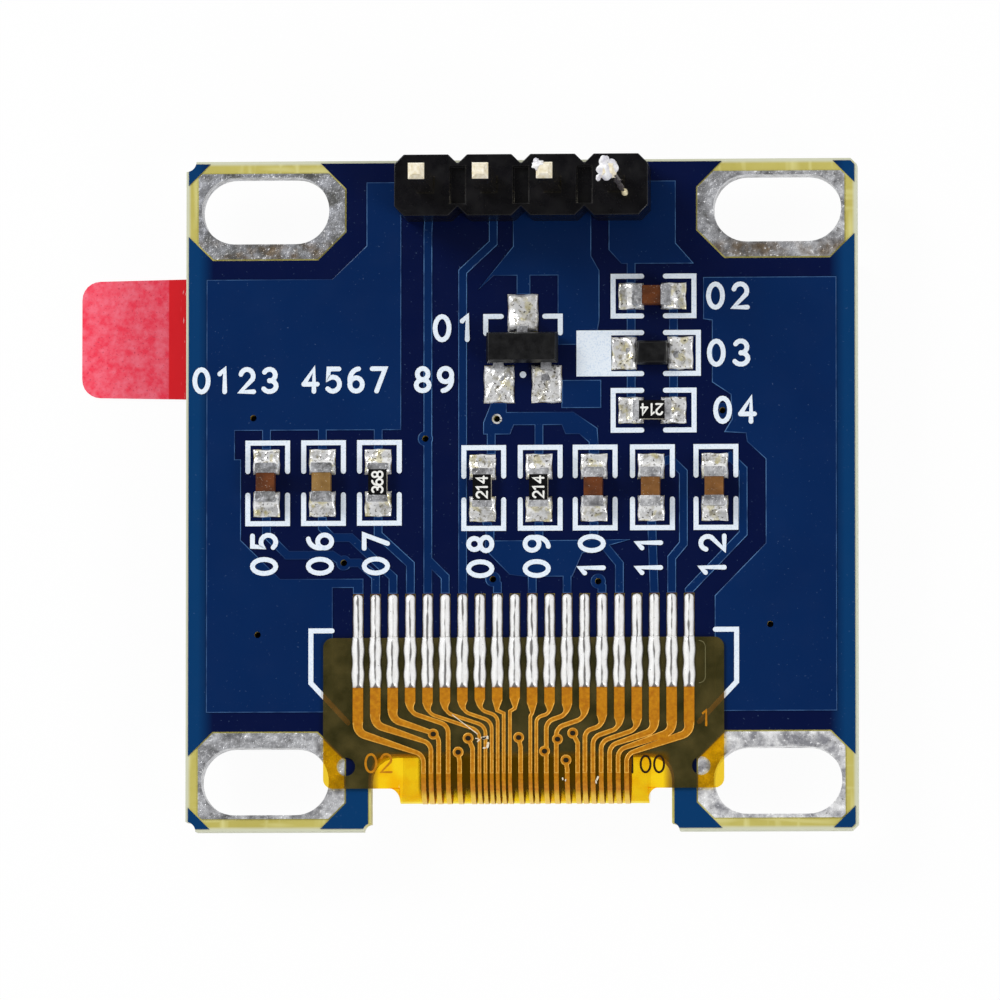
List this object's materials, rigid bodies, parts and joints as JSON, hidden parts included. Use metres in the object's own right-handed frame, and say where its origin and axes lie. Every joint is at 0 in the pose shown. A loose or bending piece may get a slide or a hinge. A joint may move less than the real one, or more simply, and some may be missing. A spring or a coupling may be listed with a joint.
{
  "type": "small oled module",
  "caption": "Small square display module, component side up, with slotted corner holes, a pin header and a folded amber flex.",
  "frame": {"origin": "centre of the four mounting slots, on the upper (component) face of the bare laminate", "axes": "+Z out of the component side, which faces up; +Y towards the pin header; +X to the right as seen from +Z"},
  "size_m": [0.0315, 0.027, 0.0117],
  "materials": {
    "laminate": "woven glass laminate, pale yellow-green",
    "copper": "bare copper foil",
    "solder": "bright tin solder",
    "solder_mask": "glossy deep blue solder mask",
    "printed_ink": "white screen-printed ink",
    "tin_plate": "bright tin plate",
    "header_plastic": "black moulded plastic",
    "pin_metal": "pale gold-plated brass",
    "ceramic_brown": "brown fired ceramic",
    "ceramic_tan": "tan fired ceramic",
    "ceramic_sand": "sand-coloured fired ceramic",
    "alumina": "cream alumina",
    "black_glaze": "black resistor glaze",
    "moulding_compound": "black moulding compound",
    "polyimide": "clear amber polyimide film",
    "flex_copper": "copper seen through amber film",
    "display_glass": "polished display glass",
    "epoxy": "cured clear epoxy",
    "dryer": "white drying sheet",
    "pixel_metal": "thin metal-backed pixel layers",
    "silicon": "bare silicon die",
    "polarizer": "dark glossy polarizer",
    "clear_film": "clear protective film",
    "red_film": "coral red plastic tab",
    "foam_tape": "white adhesive foam tape"
  },
  "bodies": {
    "root": {"board_core": "laminate", "copper_back": "copper", "land_tinning": "solder", "solder_mask_back": "solder_mask", "solder_mask_front": "solder_mask", "silkscreen": "printed_ink", "slot_plating_1": "tin_plate", "slot_plating_2": "tin_plate", "slot_plating_3": "tin_plate", "slot_plating_4": "tin_plate", "header_body": "header_plastic", "header_pin_1": "pin_metal", "header_pin_2": "pin_metal", "header_pin_3": "pin_metal", "header_pin_4": "pin_metal", "header_solder": "solder", "capacitor_1": "ceramic_brown", "capacitor_2": "ceramic_tan", "capacitor_3": "ceramic_tan", "capacitor_4": "ceramic_sand", "capacitor_5": "ceramic_brown", "capacitor_6": "ceramic_brown", "capacitor_1_ends": "tin_plate", "capacitor_2_ends": "tin_plate", "capacitor_3_ends": "tin_plate", "capacitor_4_ends": "tin_plate", "capacitor_5_ends": "tin_plate", "capacitor_6_ends": "tin_plate", "resistor_1": "alumina", "resistor_2": "alumina", "resistor_3": "alumina", "resistor_4": "alumina", "resistor_1_ends": "tin_plate", "resistor_2_ends": "tin_plate", "resistor_3_ends": "tin_plate", "resistor_4_ends": "tin_plate", "resistor_1_coat": "black_glaze", "resistor_2_coat": "black_glaze", "resistor_3_coat": "black_glaze", "resistor_4_coat": "black_glaze", "diode_body": "moulding_compound", "diode_leads": "tin_plate", "transistor_body": "moulding_compound", "transistor_leads": "tin_plate", "component_solder": "solder", "flex_film": "polyimide", "flex_traces": "flex_copper", "flex_joints": "solder", "finger_solder": "solder", "display_glass": "display_glass", "cover_glass": "display_glass", "display_seal": "epoxy", "drying_sheet": "dryer", "pixel_layers": "pixel_metal", "driver_chip": "silicon", "polarizer": "polarizer", "protective_film": "clear_film", "pull_tab": "red_film", "adhesive_tape": "foam_tape"}
  },
  "joints": []
}
